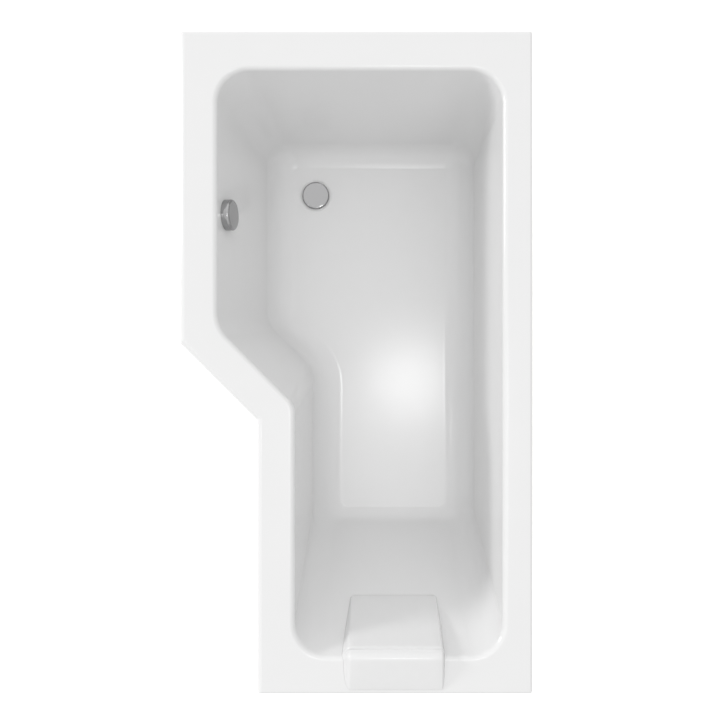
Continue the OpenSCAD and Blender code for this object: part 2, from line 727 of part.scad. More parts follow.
cap_z = flange_top + 1.5;                     // underside of the closed cap
cap_round = 4;
seal_low = cap_z - 3.2;
seal_clear = 0.6;                             // between the closed seal and the throat
stem_held = 24;                               // length of the stem in the cartridge when the plug is open
stem_low = cartridge_top - cap_travel - stem_held;
plate_radius = stem_radius + 5;               // the stem's head, which carries the seal
function throat_at(z) = tail_bore + (throat_radius - tail_bore) * (z - throat_z) / (flange_top - throat_z);

module plug_cap() {
    color(CHROME)
    at_waste() rotate_extrude() intersection() {
        union() {
            translate([0, cap_z]) square([cap_radius - cap_round, cap_thick]);
            translate([0, cap_z]) square([cap_radius, cap_thick - cap_round]);
            translate([cap_radius - cap_round, cap_z + cap_thick - cap_round]) circle(r = cap_round);
        }
        translate([0, cap_z]) square([cap_radius, cap_thick]);
    }
}

module plug_stem() {
    color(CHROME)
    at_waste() {
        drill(stem_radius, stem_low, cap_z);
        drill(plate_radius, seal_low, cap_z);
    }
}

module plug_seal() {
    ring = plate_radius + seat_gap;
    color(BLACK)
    at_waste() rotate_extrude() polygon([[ring, seal_low], [throat_at(seal_low) - seal_clear, seal_low],
                                         [throat_at(flange_top) - seal_clear, flange_top],
                                         [throat_at(flange_top) - seal_clear, cap_z], [ring, cap_z]]);
}

// ---- Trap: union nut, washer, a pipe bent in the plane of the foot end, and its outlet ----
trap_radius = trap_bore + trap_wall;
washer_thick = 2;
collar_height = 4;
trap_top = tail_low - washer_thick;           // upper end of the inlet's collar
nut_lip = 4;
nut_skirt = 5;                                // plain lower part of the nut, below its eight flats
trap_nut_low = trap_top - collar_height - nut_lip - seat_gap;
bend_z = trap_nut_low - 2;                    // height of the lower bend's centre
riser_z = bend_z + 4;
outlet_z = riser_z + trap_bend;
riser_at = 2 * trap_bend;
outlet_at = 3 * trap_bend;                    // where the pipe starts to run level
socket_at = outlet_at + 20;
socket_end = socket_at + outlet_depth;
socket_radius = outlet_bore + 5;

// The trap's pipe at a radius; its run starts at the waste's axis and goes towards the foot end
module trap_run(r) {
    drill(r, bend_z, trap_top);
    translate([0, trap_bend, bend_z]) rotate([90, 0, 90]) rotate_extrude(angle = 180, start = 180)
        translate([trap_bend, 0]) circle(r = r);
    translate([0, riser_at, 0]) drill(r, bend_z, riser_z);
    translate([0, outlet_at, riser_z]) rotate([90, 0, 90]) rotate_extrude(angle = 90, start = 90)
        translate([trap_bend, 0]) circle(r = r);
    translate([0, outlet_at, outlet_z]) rotate([-90, 0, 0]) cylinder(h = socket_at - outlet_at, r = r);
}

module level_tube(r_out, r_in, from, to) {
    translate([0, 0, outlet_z]) rotate([-90, 0, 0]) tube(r_out, r_in, from, to);
}

module trap_body() {
    color(PIPE)
    at_waste() {
        difference() {
            union() {
                trap_run(trap_radius);
                drill(tail_radius - 0.5, trap_top - collar_height, trap_top);
                level_tube(socket_radius, trap_bore, socket_at - 4, socket_at);
            }
            trap_run(trap_bore);
            drill(trap_bore, trap_top - 1, trap_top + 1);
            translate([0, 0, outlet_z]) rotate([-90, 0, 0]) drill(trap_bore, socket_at - 1, socket_at + 1);
        }
        level_tube(socket_radius, outlet_bore, socket_at, socket_end);
    }
}

module trap_nut() {
    top = clamp_low - 1;
    color(PIPE)
    at_waste() difference() {
        union() {
            translate([0, 0, trap_nut_low + nut_skirt])
                cylinder(h = top - trap_nut_low - nut_skirt, r = tail_radius + 6, $fn = 8);
            drill(tail_radius + 3.5, trap_nut_low, top);
        }
        drill(tail_radius + thread_gap, trap_nut_low + nut_lip, top + 1);
        drill(trap_radius + seat_gap, trap_nut_low - 1, top);
    }
}

module trap_washer() {
    color(BLACK) at_waste() tube(tail_radius - 0.5, trap_bore + 1, trap_top, tail_low);
}

outlet_seal_thick = 3;
lip_from = socket_end + outlet_seal_thick;    // inner face of the outlet nut's lip

module outlet_seal() {
    color(BLACK) at_waste() level_tube(socket_radius, outlet_bore + seat_gap, socket_end, lip_from);
}

module outlet_nut() {
    grip = 14;
    plain = 3;                                // plain end of the nut, beside its eight flats
    color(PIPE)
    at_waste() translate([0, 0, outlet_z]) rotate([-90, 0, 0]) difference() {
        union() {
            drill(socket_radius + 3, lip_from - grip, lip_from + nut_lip);
            translate([0, 0, lip_from - grip + plain])
                cylinder(h = grip - plain, r = socket_radius + 5, $fn = 8);
        }
        drill(socket_radius + thread_gap, lip_from - grip - 1, lip_from);
        drill(outlet_bore + 2 * hole_gap, lip_from - 1, lip_from + nut_lip + 1);
    }
}

// ---- Overflow: levels from the inner face of the wall, outwards into the well ----
cover_wall = 2.5;
cover_round = 6;
grid_radius = 31;
grid_thick = 2;
hub_high = 7;                                 // the grid's hub, over which the cover's sleeve is pushed
hub_r = 7;
sleeve_wall = 3;
slot_long = 28;                               // the water's way in, under the cover's lower edge
grid_ring = 16;                               // distance of the grid's eight holes from its middle
grid_hole = 4.5;
bolt_head = 4.6;
bolt_head_height = 3;
bolt_sunk = hub_high - bolt_head_height - 0.5;
rear_seal = 3;
elbow_face = -sheet - rear_seal;              // front of the elbow's flange
elbow_radius = 30;
elbow_wall = 2.5;
elbow_flange = 3;
spigot_level = -sheet - 1.2 - hose_nut_radius;
elbow_back = spigot_level - spigot_radius - 1;
elbow_spigot_end = 60;
post_radius = 6;
bolt_radius = 2.5;
bolt_low = elbow_back + 8;

module overflow_cover() {
    color(CHROME)
    at_overflow() difference() {
        union() {
            rotate_extrude() difference() {
                union() {
                    translate([0, seat_gap]) square([cover_radius, cover_depth - seat_gap - cover_round]);
                    translate([0, seat_gap]) square([cover_radius - cover_round, cover_depth - seat_gap]);
                    translate([cover_radius - cover_round, cover_depth - cover_round]) circle(r = cover_round);
                }
                translate([-1, -1]) square([cover_radius - cover_wall + 1, cover_depth - cover_wall + 1]);
            }
            tube(hub_r + sleeve_wall, hub_r + running_gap, 2 * seat_gap + grid_thick,
                 cover_depth - cover_wall / 2);
        }
        translate([cover_radius - 2 * cover_wall, -slot_long / 2, -1])
            cube([3 * cover_wall, slot_long, cover_depth / 2]);
    }
}

module overflow_grid() {
    color(CHROME)
    at_overflow() difference() {
        union() {
            drill(grid_radius, seat_gap, seat_gap + grid_thick);
            drill(hub_r, seat_gap, hub_high);
            drill(overflow_hole - seat_gap, elbow_face, grid_thick);
        }
        drill(overflow_hole - sleeve_wall, elbow_face - 1, seat_gap);
        drill(bolt_radius + hole_gap, -1, hub_high + 1);
        drill(bolt_head + hole_gap, bolt_sunk, hub_high + 1);
        for (a = [0 : 45 : 315]) rotate([0, 0, a]) translate([grid_ring, 0, 0]) drill(grid_hole, -1, hub_high);
    }
}

module overflow_screw() {
    color(CHROME)
    at_overflow() {
        drill(bolt_head, bolt_sunk, bolt_sunk + bolt_head_height);
        drill(bolt_radius, bolt_low, bolt_sunk);
    }
}

module overflow_seal() {
    color(BLACK) at_overflow() tube(elbow_radius + 5, overflow_hole + 1, elbow_face, -sheet);
}

module overflow_elbow() {
    color(PIPE)
    at_overflow() difference() {
        union() {
            drill(elbow_radius, elbow_back, elbow_face);
            drill(elbow_radius + 6, elbow_face - elbow_flange, elbow_face);
            translate([0, 0, spigot_level]) rotate([0, 90, 0])
                cylinder(h = elbow_spigot_end, r = spigot_radius);
        }
        difference() {
            union() {
                drill(elbow_radius - elbow_wall, elbow_back + elbow_wall, elbow_face + 1);
                translate([0, 0, spigot_level]) rotate([0, 90, 0])
                    cylinder(h = elbow_spigot_end + 1, r = hose_bore);
            }
            drill(post_radius, elbow_back, elbow_face - 1);
        }
        drill(bolt_radius + thread_gap, bolt_low - 2, elbow_face + 1);
    }
}

// ---- Overflow hose: straight off both spigots, one smooth curve between, ribs all along ----
down = [sin(lean_front), 0, -cos(lean_front)];
off_wall = [cos(lean_front), 0, sin(lean_front)];
hose_start = [overflow_x, overflow_y, overflow_z] + elbow_spigot_end * down + spigot_level * off_wall;
hose_end = [waste_x - spigot_end, waste_y, inlet_z];
straight = 2 * hose_radius;
curve = [hose_start + straight * down, hose_start + hose_drop * down, hose_end - [hose_sweep, 0, 0],
         hose_end - [straight, 0, 0]];
function bezier(t) = pow(1 - t, 3) * curve[0] + 3 * pow(1 - t, 2) * t * curve[1]
    + 3 * (1 - t) * t * t * curve[2] + t * t * t * curve[3];
curve_steps = 60;
curve_table = [for (k = 0, s = 0; k <= curve_steps;
    s = s + norm(bezier(min(1, (k + 1) / curve_steps)) - bezier(k / curve_steps)), k = k + 1) [s, k / curve_steps]];
curve_long = curve_table[curve_steps][0];
hose_long = curve_long + 2 * straight;
function hose_point(s) = s <= straight ? hose_start + s * down
    : s >= straight + curve_long ? hose_end - [hose_long - s, 0, 0]
    : bezier(lookup(s - straight, curve_table));
function unit(v) = v / norm(v);
function hose_ring(s, r) =
    let (t = unit(hose_point(min(s + 1, hose_long)) - hose_point(max(s - 1, 0))),
         u = unit(cross(t, [0, 1, 0])), v = cross(t, u), p = hose_point(s))
    [for (k = [0 : 7]) p + r * (cos(45 * k) * u + sin(45 * k) * v)];
cuff = 18;                                    // smooth end of the hose, under its nut
rib_count = floor((hose_long - 2 * cuff) / rib_pitch);
rib_step = (hose_long - 2 * cuff) / rib_count;
valley = 2;
bore_count = 34;

module overflow_hose() {
    color(PIPE)
    skin_round([
        hose_ring(0, hose_radius), hose_ring(cuff, hose_radius),
        for (k = [0 : rib_count - 1]) each [
            hose_ring(cuff + (k + 0.5) * rib_step, hose_radius - valley),
            hose_ring(cuff + (k + 1) * rib_step, hose_radius)],
        hose_ring(hose_long, hose_radius),
        for (k = [bore_count : -1 : 0]) hose_ring(hose_long * k / bore_count, hose_bore)]);
}

// Nut over the end of a spigot and the cuff of the hose; its lip lies on the spigot
module hose_nut(end) {
    on_spigot = 12;
    color(PIPE)
    difference() {
        drill(hose_nut_radius, end - on_spigot, end + cuff - 2);
        drill(spigot_radius + seat_gap, end - on_spigot - 1, end + cuff);
        drill(hose_radius + seat_gap, end - seat_gap, end + cuff);
    }
}

module hose_nut_top() {
    at_overflow() translate([0, 0, spigot_level]) rotate([0, 90, 0]) hose_nut(elbow_spigot_end);
}

module hose_nut_bottom() {
    at_waste() translate([0, 0, inlet_z]) rotate([0, -90, 0]) hose_nut(spigot_end);
}

bath_shell();
headrest_pad();
base_board();
batten(FRONT);  // batten_front
batten(DIAGONAL);  // batten_diagonal
batten(NARROW);  // batten_narrow
batten(HEAD);  // batten_head
batten(WALL);  // batten_wall
batten(FOOT);  // batten_foot
rail(0);  // rail_foot_end
rail(1);  // rail_middle
rail(2);  // rail_head_end
rail_screws();
foot_nuts();
foot_rod(0);  // foot_rod_1
foot_rod(1);  // foot_rod_2
foot_rod(2);  // foot_rod_3
foot_rod(3);  // foot_rod_4
foot_rod(4);  // foot_rod_5
foot_rod(5);  // foot_rod_6
foot_pad(0);  // foot_pad_1
foot_pad(1);  // foot_pad_2
foot_pad(2);  // foot_pad_3
foot_pad(3);  // foot_pad_4
foot_pad(4);  // foot_pad_5
foot_pad(5);  // foot_pad_6
wall_bracket(0);  // wall_bracket_1
wall_bracket(1);  // wall_bracket_2
wall_bracket(2);  // wall_bracket_3
bracket_screws();
waste_flange();
flange_seal();
underfloor_seal();
overflow_inlet();
clamp_nut();
plug_cartridge();
plug_cap();
plug_stem();
plug_seal();
trap_nut();
trap_washer();
trap_body();
outlet_seal();
outlet_nut();
overflow_cover();
overflow_grid();
overflow_screw();
overflow_seal();
overflow_elbow();
overflow_hose();
hose_nut_top();
hose_nut_bottom();
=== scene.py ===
# %% [markdown]
# # A straight-sided P shaped shower bath
# The bath is one white moulding: a wide end to shower in, one diagonal step, and a narrower body with
# a sloped backrest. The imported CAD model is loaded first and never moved. This script dresses it: it
# rebuilds the moulding, the headrest and the overflow hose as fine smooth meshes, and gives every
# other piece a finish made of shader nodes.

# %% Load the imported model
import json
import math
from collections import namedtuple

import bpy
import bmesh
from mathutils import Matrix, Vector


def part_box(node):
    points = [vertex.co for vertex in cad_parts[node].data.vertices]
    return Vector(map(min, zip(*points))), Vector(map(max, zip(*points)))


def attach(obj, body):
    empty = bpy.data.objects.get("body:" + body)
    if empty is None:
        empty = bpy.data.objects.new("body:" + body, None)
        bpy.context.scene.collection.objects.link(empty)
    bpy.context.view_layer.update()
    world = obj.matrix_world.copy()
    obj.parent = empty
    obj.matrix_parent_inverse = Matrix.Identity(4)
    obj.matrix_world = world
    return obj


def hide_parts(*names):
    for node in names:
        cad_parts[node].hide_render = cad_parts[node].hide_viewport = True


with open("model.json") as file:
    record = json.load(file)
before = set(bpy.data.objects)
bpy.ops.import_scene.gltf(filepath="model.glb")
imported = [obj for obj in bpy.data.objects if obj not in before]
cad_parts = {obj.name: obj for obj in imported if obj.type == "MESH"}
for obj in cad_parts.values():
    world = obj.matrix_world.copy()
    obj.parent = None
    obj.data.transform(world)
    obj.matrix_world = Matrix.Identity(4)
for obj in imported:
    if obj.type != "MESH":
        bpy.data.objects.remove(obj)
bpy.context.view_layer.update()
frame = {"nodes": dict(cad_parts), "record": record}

MM = 0.001

# %% [markdown]
# ## Shader maths as Python
# A finish is a tree of shader nodes, and so is the sky. Written node by node they are hard to read, so
# three small classes stand in for them. `Value` wraps a socket that carries a number, and adding or
# multiplying it adds Math nodes, also with the plain number first. `Shading` is any tree; its `node`
# method makes a node from its settings and sockets. `Finish` is the tree of one material, with the
# patterns that materials are made of.

# %% Values that add Math nodes


class Value:
    """A number socket of a tree. Arithmetic on it adds Math nodes to the tree."""

    def __init__(self, shading, socket):
        self.shading, self.socket = shading, socket

    def maths(self, operation, *terms):
        sockets = dict(enumerate(terms))
        return self.shading.node("ShaderNodeMath", {"operation": operation}, sockets)

    def __add__(self, other):
        return self.maths("ADD", self, other)

    def __mul__(self, other):
        return self.maths("MULTIPLY", self, other)

    __radd__, __rmul__ = __add__, __mul__

    def larger(self, other):
        return self.maths("MAXIMUM", self, other)

    def zigzag(self, height):
        return self.maths("PINGPONG", self, height)


# %% Trees and finishes


class Shading:
    """The node tree of a material or of the world."""

    def __init__(self, owner, shader):
        owner.use_nodes = True
        self.tree = owner.node_tree
        self.shader = self.tree.nodes[shader]

    def set(self, socket, value):
        self.join(value, self.shader.inputs[socket])

    def join(self, value, socket):
        if isinstance(value, Value):
            self.tree.links.new(value.socket, socket)
        else:
            socket.default_value = value

    def node(self, kind, settings=None, sockets=None, output=0):
        made = self.tree.nodes.new(kind)
        for name, value in (settings or {}).items():
            setattr(made, name, value)
        for key, value in (sockets or {}).items():
            self.join(value, made.inputs[key])
        return Value(self, made.outputs[output])


class Finish(Shading):
    """One material. Sockets that stay the same all over are set on the shader itself."""

    def __init__(self, name, color, roughness, metallic=0.0, **constants):
        self.material = bpy.data.materials.new(name)
        super().__init__(self.material, "Principled BSDF")
        self.set("Base Color", (*color, 1.0))
        self.set("Roughness", roughness)
        self.set("Metallic", metallic)
        for socket, value in constants.items():
            self.set(socket.replace("_", " "), value)

    def place(self, stretch=(1.0, 1.0, 1.0), turn=0.0):
        """The point on the piece, in metres; lengths along a stretched axis count for less."""
        here = self.node("ShaderNodeTexCoord", output="Object")
        turned = self.node("ShaderNodeVectorRotate", {"rotation_type": "Z_AXIS"},
                           {"Vector": here, "Angle": turn})
        return self.node("ShaderNodeVectorMath", {"operation": "DIVIDE"}, {0: turned, 1: stretch})

    def noise(self, size, detail=2.0, stretch=(1.0, 1.0, 1.0), turn=0.0):
        """Soft random cloud, 0 to 1, whose blobs are about size metres across."""
        return self.node("ShaderNodeTexNoise", None,
                         {"Vector": self.place(stretch, turn), "Scale": 1.0 / size, "Detail": detail})

    def cells(self, size):
        """How far the nearest of many scattered dots is; the dots are about size metres apart."""
        return self.node("ShaderNodeTexVoronoi", None, {"Vector": self.place(), "Scale": 1.0 / size})

    def ramp(self, value, low, high):
        """0 below low, 1 above high, and a straight line between."""
        return self.node("ShaderNodeMapRange", {"clamp": True},
                         {"Value": value, "From Min": low, "From Max": high})

    def blend(self, first, second, share):
        """Colours go through a Mix node, because a Math node would turn them grey."""
        factor, color_a, color_b, color_out = 0, 6, 7, 2          # the Mix node's colour sockets
        sockets = {factor: share, color_a: (*first, 1.0), color_b: (*second, 1.0)}
        return self.node("ShaderNodeMix", {"data_type": "RGBA"}, sockets, color_out)

    def relief(self, height, depth):
        """Bump: height is 0 to 1, and depth is how many metres 1 stands for."""
        self.set("Normal", self.node("ShaderNodeBump", None, {"Height": height, "Distance": depth}))


# %% [markdown]
# ## The white acrylic and what is behind it
# A bath's face is a sheet of white acrylic, drawn over a mould while hot. It is glossy but not a
# mirror: it has a slight wave at the scale of a hand. Its back is stiffened with chopped glass strands
# in resin, which dries to an uneven off-white skin with the strands showing in all directions. Pictures
# of such surfaces could be wrapped round the pieces, but they need unwrapping and stretch at corners.
# Noise that is read at the point's own place in metres does neither, so every finish here uses it.

# %% Acrylic finish


def grey(level):
    return (level, level, level)


acrylic = Finish("white acrylic", grey(0.74), 0.16, IOR=1.49)
wave = acrylic.noise(60 * MM, detail=1.0)
haze = acrylic.noise(9 * MM, detail=3.0)
acrylic.set("Base Color", acrylic.blend(grey(0.735), grey(0.745), wave))
acrylic.set("Roughness", 0.13 + 0.06 * haze)
acrylic.relief(wave, 0.10 * MM)
print("acrylic nodes:", len(acrylic.tree.nodes))

# %% Resin finishes
strand_width, strand_stretch = 5 * MM, (1.0, 14.0, 1.0)
strand_turns = (0.3, 1.1, 1.9, 2.7)
strand_share = 0.55


def strand_layer(finish, turn):
    """One direction of glass strands: noise drawn out into thin streaks."""
    return finish.ramp(finish.noise(strand_width, 2.0, strand_stretch, turn), low=0.52, high=0.66)


def resin_finish(name, light, dark):
    finish = Finish(name, light, 0.4, IOR=1.55)
    strands = strand_layer(finish, strand_turns[0])
    for turn in strand_turns[1:]:
        strands = strands.larger(strand_layer(finish, turn))
    patches = finish.noise(45 * MM, 3.0)
    lightness = strands * strand_share + patches * (1 - strand_share)
    finish.set("Base Color", finish.blend(dark, light, lightness))
    finish.set("Roughness", 0.3 + 0.25 * patches)
    finish.relief(strands * 0.6 + patches, 0.7 * MM)
    return finish


resin = resin_finish("resin and glass strands", (0.80, 0.79, 0.72), (0.66, 0.65, 0.57))
board_coat = resin_finish("resin over particle board", (0.66, 0.58, 0.44), (0.52, 0.44, 0.31))
print("resin nodes:", len(resin.tree.nodes))

# %% [markdown]
# ## Metals, timber, rubber and plastics
# These are the finishes of the pieces that come straight from the CAD model. Chrome is almost a
# mirror. Zinc plate is dull and has faint crystals. The threads of the feet could be modelled, but they
# are small and mostly hidden under the bath, so they are only shaded on, as a zigzag along each rod.
# Timber is noise drawn out along the grain, so each direction needs a finish of its own. Moulded rubber
# and plastic have a fine grain and a soft change of tone.

# %% Metal finishes
chrome = Finish("chrome plate", (0.385, 0.385, 0.388), 0.05, 1.0)
chrome.set("Roughness", 0.04 + 0.05 * chrome.noise(7 * MM, 4.0))

zinc_dark, zinc_light = (0.52, 0.54, 0.56), (0.66, 0.68, 0.69)


def zinc_finish(name):
    finish = Finish(name, zinc_light, 0.4, 1.0)
    crystals = finish.cells(6 * MM)
    smear = finish.noise(30 * MM, 4.0)
    finish.set("Base Color", finish.blend(zinc_dark, zinc_light, crystals * 0.5 + smear * 0.5))
    finish.set("Roughness", 0.28 + 0.25 * smear)
    return finish


zinc = zinc_finish("zinc plate")
zinc.relief(zinc.noise(1.5 * MM), 0.02 * MM)

thread_pitch, thread_depth = 1.5 * MM, 0.8 * MM
threaded = zinc_finish("zinc plated thread")
up = threaded.node("ShaderNodeSeparateXYZ", None, {0: threaded.place()}, "Z")
threaded.relief((up * (2 / thread_pitch)).zigzag(1.0), thread_depth)
print("metal finishes:", [finish.material.name for finish in (chrome, zinc, threaded)])

# %% Timber, rubber and plastic finishes
early_wood, late_wood = (0.67, 0.49, 0.29), (0.45, 0.28, 0.13)
grain_stretch, ring_stretch = (1.0, 40.0, 1.0), (1.0, 30.0, 1.0)


def timber_finish(name, turn):
    """Softwood whose grain runs along a level line, turned from +Y by minus this angle."""
    finish = Finish(name, early_wood, 0.65)
    grain = finish.noise(3 * MM, 4.0, grain_stretch, turn)
    rings = finish.ramp(finish.noise(11 * MM, 2.0, ring_stretch, turn), low=0.35, high=0.65)
    finish.set("Base Color", finish.blend(early_wood, late_wood, rings * 0.6 + grain * 0.4))
    finish.set("Roughness", 0.55 + 0.2 * grain)
    finish.relief(grain, 0.25 * MM)
    return finish


def moulded_finish(name, color, roughness, grain_size=0.8 * MM, depth=0.03 * MM):
    finish = Finish(name, color, roughness)
    grain = finish.noise(grain_size, 3.0)
    darker = [0.86 * channel for channel in color]
    finish.set("Base Color", finish.blend(color, darker, finish.noise(25 * MM)))
    finish.set("Roughness", roughness + 0.12 * grain)
    finish.relief(grain, depth)
    return finish


pipe_white = moulded_finish("white pipe plastic", (0.78, 0.78, 0.76), 0.34)
black_plastic = moulded_finish("black foot plastic", (0.025, 0.025, 0.027), 0.5, 0.6 * MM, 0.06 * MM)
rubber = moulded_finish("black rubber", grey(0.02), 0.7, 0.5 * MM, 0.08 * MM)
print("moulded finishes:", [finish.material.name for finish in (pipe_white, black_plastic, rubber)])

# %% Put the finishes on the CAD pieces
quarter_turn = math.pi / 2
timber_along = {
    "batten_front": 0.0, "batten_narrow": 0.0, "batten_wall": 0.0,
    "batten_head": quarter_turn, "batten_foot": quarter_turn, "batten_diagonal": -quarter_turn / 2,
}
timber = {turn: timber_finish(f"softwood {math.degrees(turn):.0f}", turn)
          for turn in sorted(set(timber_along.values()))}
slot_finish = {
    "base_board": board_coat, "zinc_steel": zinc, "black_plastic": black_plastic,
    "black_rubber": rubber, "chrome": chrome, "pipe_white": pipe_white, "acrylic_white": acrylic,
}
node_slot = {part["node"]: part["material_slot"] for part in frame["record"]["subparts"]}
dressed = 0
for name, node in frame["nodes"].items():
    if name in timber_along:
        finish = timber[timber_along[name]]
    elif name.startswith("foot_rod"):
        finish = threaded
    elif node_slot[name] in slot_finish:
        finish = slot_finish[node_slot[name]]
    else:
        continue
    for place in node.material_slots:
        place.material = finish.material
    dressed += 1
print("CAD pieces given a finish:", dressed)

# %% [markdown]
# ## Building a piece
# A new piece could be a box that is pushed into shape, but each of these follows a rule, so its points
# are worked out. Every new mesh goes through one helper, which makes the object, shades it smooth and
# gives it its finishes; a piece that stands for a CAD piece is hung on the empty of the body it moves
# with, and that CAD piece is hidden. `lofted` lays a skin over a list of loops, and all the pieces here
# are made that way.

# %% Make a mesh piece


def piece(name, points, faces, finishes, stands_for, body="bath"):
    mesh = bpy.data.meshes.new(name)
    mesh.from_pydata(points, [], faces)
    mesh.shade_smooth()
    for finish in finishes:
        mesh.materials.append(finish.material)
    thing = bpy.data.objects.new(name, mesh)
    bpy.context.scene.collection.objects.link(thing)
    if stands_for:
        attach(thing, body)
        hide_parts(stands_for)
    return thing


def loop_faces(first, second, count):
    """Quads between two loops of points, given by the number of each loop's first point."""
    pairs = [(i, (i + 1) % count) for i in range(count)]
    return [(first + i, second + i, second + j, first + j) for i, j in pairs]


def lofted(loops, closed_ends):
    """Points and faces of a skin over a list of loops. Its ends are closed, or joined to each other."""
    count, turns = len(loops[0]), len(loops)
    points = [point for loop in loops for point in loop]
    faces = []
    for k in range(turns - 1 if closed_ends else turns):
        faces += loop_faces(k * count, (k + 1) % turns * count, count)
    if closed_ends:
        faces.append(tuple(range(count)))
        faces.append(tuple(range((turns - 1) * count, turns * count))[::-1])
    return points, faces


def face_outwards(thing):
    work = bmesh.new()
    work.from_mesh(thing.data)
    bmesh.ops.recalc_face_normals(work, faces=work.faces)
    work.to_mesh(thing.data)
    work.free()


# %% [markdown]
# ## The moulding
# Seen from above the bath has six sides. Each side's wall leans by its own amount, meets the rim in a
# small roll and the floor in a wide cove, and past the rim comes the turned-down edge. So the whole
# skin is one stack of level outlines: the floor, up the coves and walls, over the mouth's roll, out
# across the rim, down the edge, and back underneath, one sheet thickness away. A loft through the
# stack gives a closed moulding with true round coves, which a subdivided box would only come near. At
# the head end and the foot end, a slight crease sets the floor off from its cove.

# %% The six sides
half_width, half_length, rim_height = Vector(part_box("bath_shell")[1])
well_depth = 420 * MM
sheet = 5 * MM
edge_height = 38 * MM
well_roll = 12 * MM
edge_corner = 6 * MM
floor_corner = 6 * MM
step_start, step_in = 706 * MM, 175 * MM
narrow_x = half_width - step_in
diagonal_at = (half_width - half_length + step_start) / math.sqrt(2)

# Angles are in degrees. The turning, the mouth's radius and its taper down to the floor are those of the
# corner after the side, and crease is the angle at which the cove's arc leaves the floor.
Side = namedtuple("Side", "facing turning outer rim lean cove edge_roll mouth taper crease", defaults=[0])
front = Side(180, 45, half_width, 84 * MM, 11.9, 75 * MM, 14 * MM, 84 * MM, 0)
diagonal = Side(225, -45, diagonal_at, 84 * MM, 11.4, 75 * MM, 14 * MM, 45 * MM, 0)
narrow = Side(180, 90, narrow_x, 86 * MM, 3.7, 79 * MM, 14 * MM, 74 * MM, 8 * MM)
head = Side(270, 90, half_length, 82 * MM, 30.6, 43 * MM, 7 * MM, 74 * MM, 8 * MM, crease=8)
wall = Side(0, 90, half_width, 66.5 * MM, 3.6, 75 * MM, 7 * MM, 74 * MM, 14 * MM)
foot = Side(90, 90, half_length, 87 * MM, 11.8, 55 * MM, 7 * MM, 74 * MM, 14 * MM, crease=7)
sides = [front, diagonal, narrow, head, wall, foot]
corners = list(zip(sides, sides[1:] + sides[:1]))
print("narrow front edge at x =", round(-narrow_x, 4), " diagonal", round(diagonal_at, 4), "m out")


def direction(degrees):
    return Vector((math.cos(math.radians(degrees)), math.sin(math.radians(degrees))))


def meeting(a, at_a, b, at_b):
    """Point where two sides meet, each given by the way it faces and its distance from the middle."""
    (ax, ay), (bx, by) = direction(a), direction(b)
    return Vector((at_a * by - at_b * ay, at_b * ax - at_a * bx)) / (ax * by - ay * bx)


# %% Sections of the wall and of the edge


def lean_of(side):
    return math.radians(side.lean)


def roll_start(side):
    """How far outside the wall's own line the rim's roll begins."""
    return well_roll * math.tan((math.pi / 2 - lean_of(side)) / 2)


def wall_line(side, depth, skin):
    """How far in the straight wall is at a depth, as if it had no roll and no cove."""
    return depth * math.tan(lean_of(side)) - skin / math.cos(lean_of(side))


def cove_reach(side):
    """How far the cove takes the floor's edge in, past the line where wall and floor would meet."""
    return side.cove * math.tan((math.pi / 2 - lean_of(side)) / 2)


def cove_arc(side):
    """The arc's radius, and its centre's distance in from the rim's edge and height over the floor."""
    lean, crease = lean_of(side), math.radians(side.crease)
    along_crease = cove_reach(side) * math.cos(lean) / math.cos(lean + crease)
    radius = along_crease / math.tan((math.pi / 2 - lean - crease) / 2)
    floor_in = well_depth * math.tan(lean) + cove_reach(side)
    return radius, floor_in + radius * math.sin(crease), radius * math.cos(crease)


def wall_in(side, depth, skin):
    """How far the wall lies inside the edge of the rim at a depth; skin is 0 on the face that shows."""
    radius, centre_in, centre_up = cove_arc(side)
    above, roll = well_roll - depth, well_roll - skin
    below, bowl = depth - well_depth + centre_up, radius + skin
    if above > roll * math.sin(lean_of(side)):
        return math.sqrt(max(0.0, roll * roll - above * above)) - roll_start(side)
    if below > bowl * math.sin(lean_of(side)):
        return centre_in - math.sqrt(max(0.0, bowl * bowl - below * below))
    return wall_line(side, depth, skin)


def edge_in(side, depth, skin):
    """How far the turned-down edge lies inside the bath's plan size, at a depth."""
    if depth >= side.edge_roll:
        return skin
    roll, above = side.edge_roll - skin, side.edge_roll - depth
    return side.edge_roll - math.sqrt(max(0.0, roll * roll - above * above))


# %% Outlines at one level
steps_in_square_corner = 20


def outline(distances, radii, z):
    """A closed outline: an arc at each corner, straight between them."""
    points = []
    for k, (side, following) in enumerate(corners):
        turn = 1 if side.turning > 0 else -1
        radius = radii[k]
        centre = meeting(side.facing, distances[k] - turn * radius,
                         following.facing, distances[(k + 1) % len(sides)] - turn * radius)
        steps = steps_in_square_corner * abs(side.turning) // 90
        for step in range(steps + 1):
            place = centre + turn * radius * direction(side.facing + side.turning * step / steps)
            points.append((place.x, place.y, z))
    return points


def well_outline(depth, skin=0.0):
    inward = [wall_in(side, depth, skin) for side in sides]
    straight = [wall_line(side, depth, skin) for side in sides]
    radii = []
    for k, side in enumerate(sides):
        n = (k + 1) % len(sides)
        more = (inward[k] + inward[n]) / 2
        line = (straight[k] + straight[n]) / 2
        shrunk = side.mouth - side.taper * min(1.0, depth / well_depth) - more + line
        radii.append(side.mouth + more if side.turning < 0 else max(floor_corner, shrunk) + skin)
    distances = [side.outer - side.rim - inward[k] for k, side in enumerate(sides)]
    return outline(distances, radii, rim_height - depth)


def edge_outline(depth, skin=0.0):
    inward = [edge_in(side, depth, skin) for side in sides]
    radii = []
    for k, side in enumerate(sides):
        more = (inward[k] + inward[(k + 1) % len(sides)]) / 2
        radii.append(edge_corner + more if side.turning < 0 else max(MM, edge_corner - more))
    return outline([side.outer - inward[k] for k, side in enumerate(sides)], radii, rim_height - depth)


# %% The stack of levels
cove_steps, wall_steps, roll_steps = 20, 8, 10


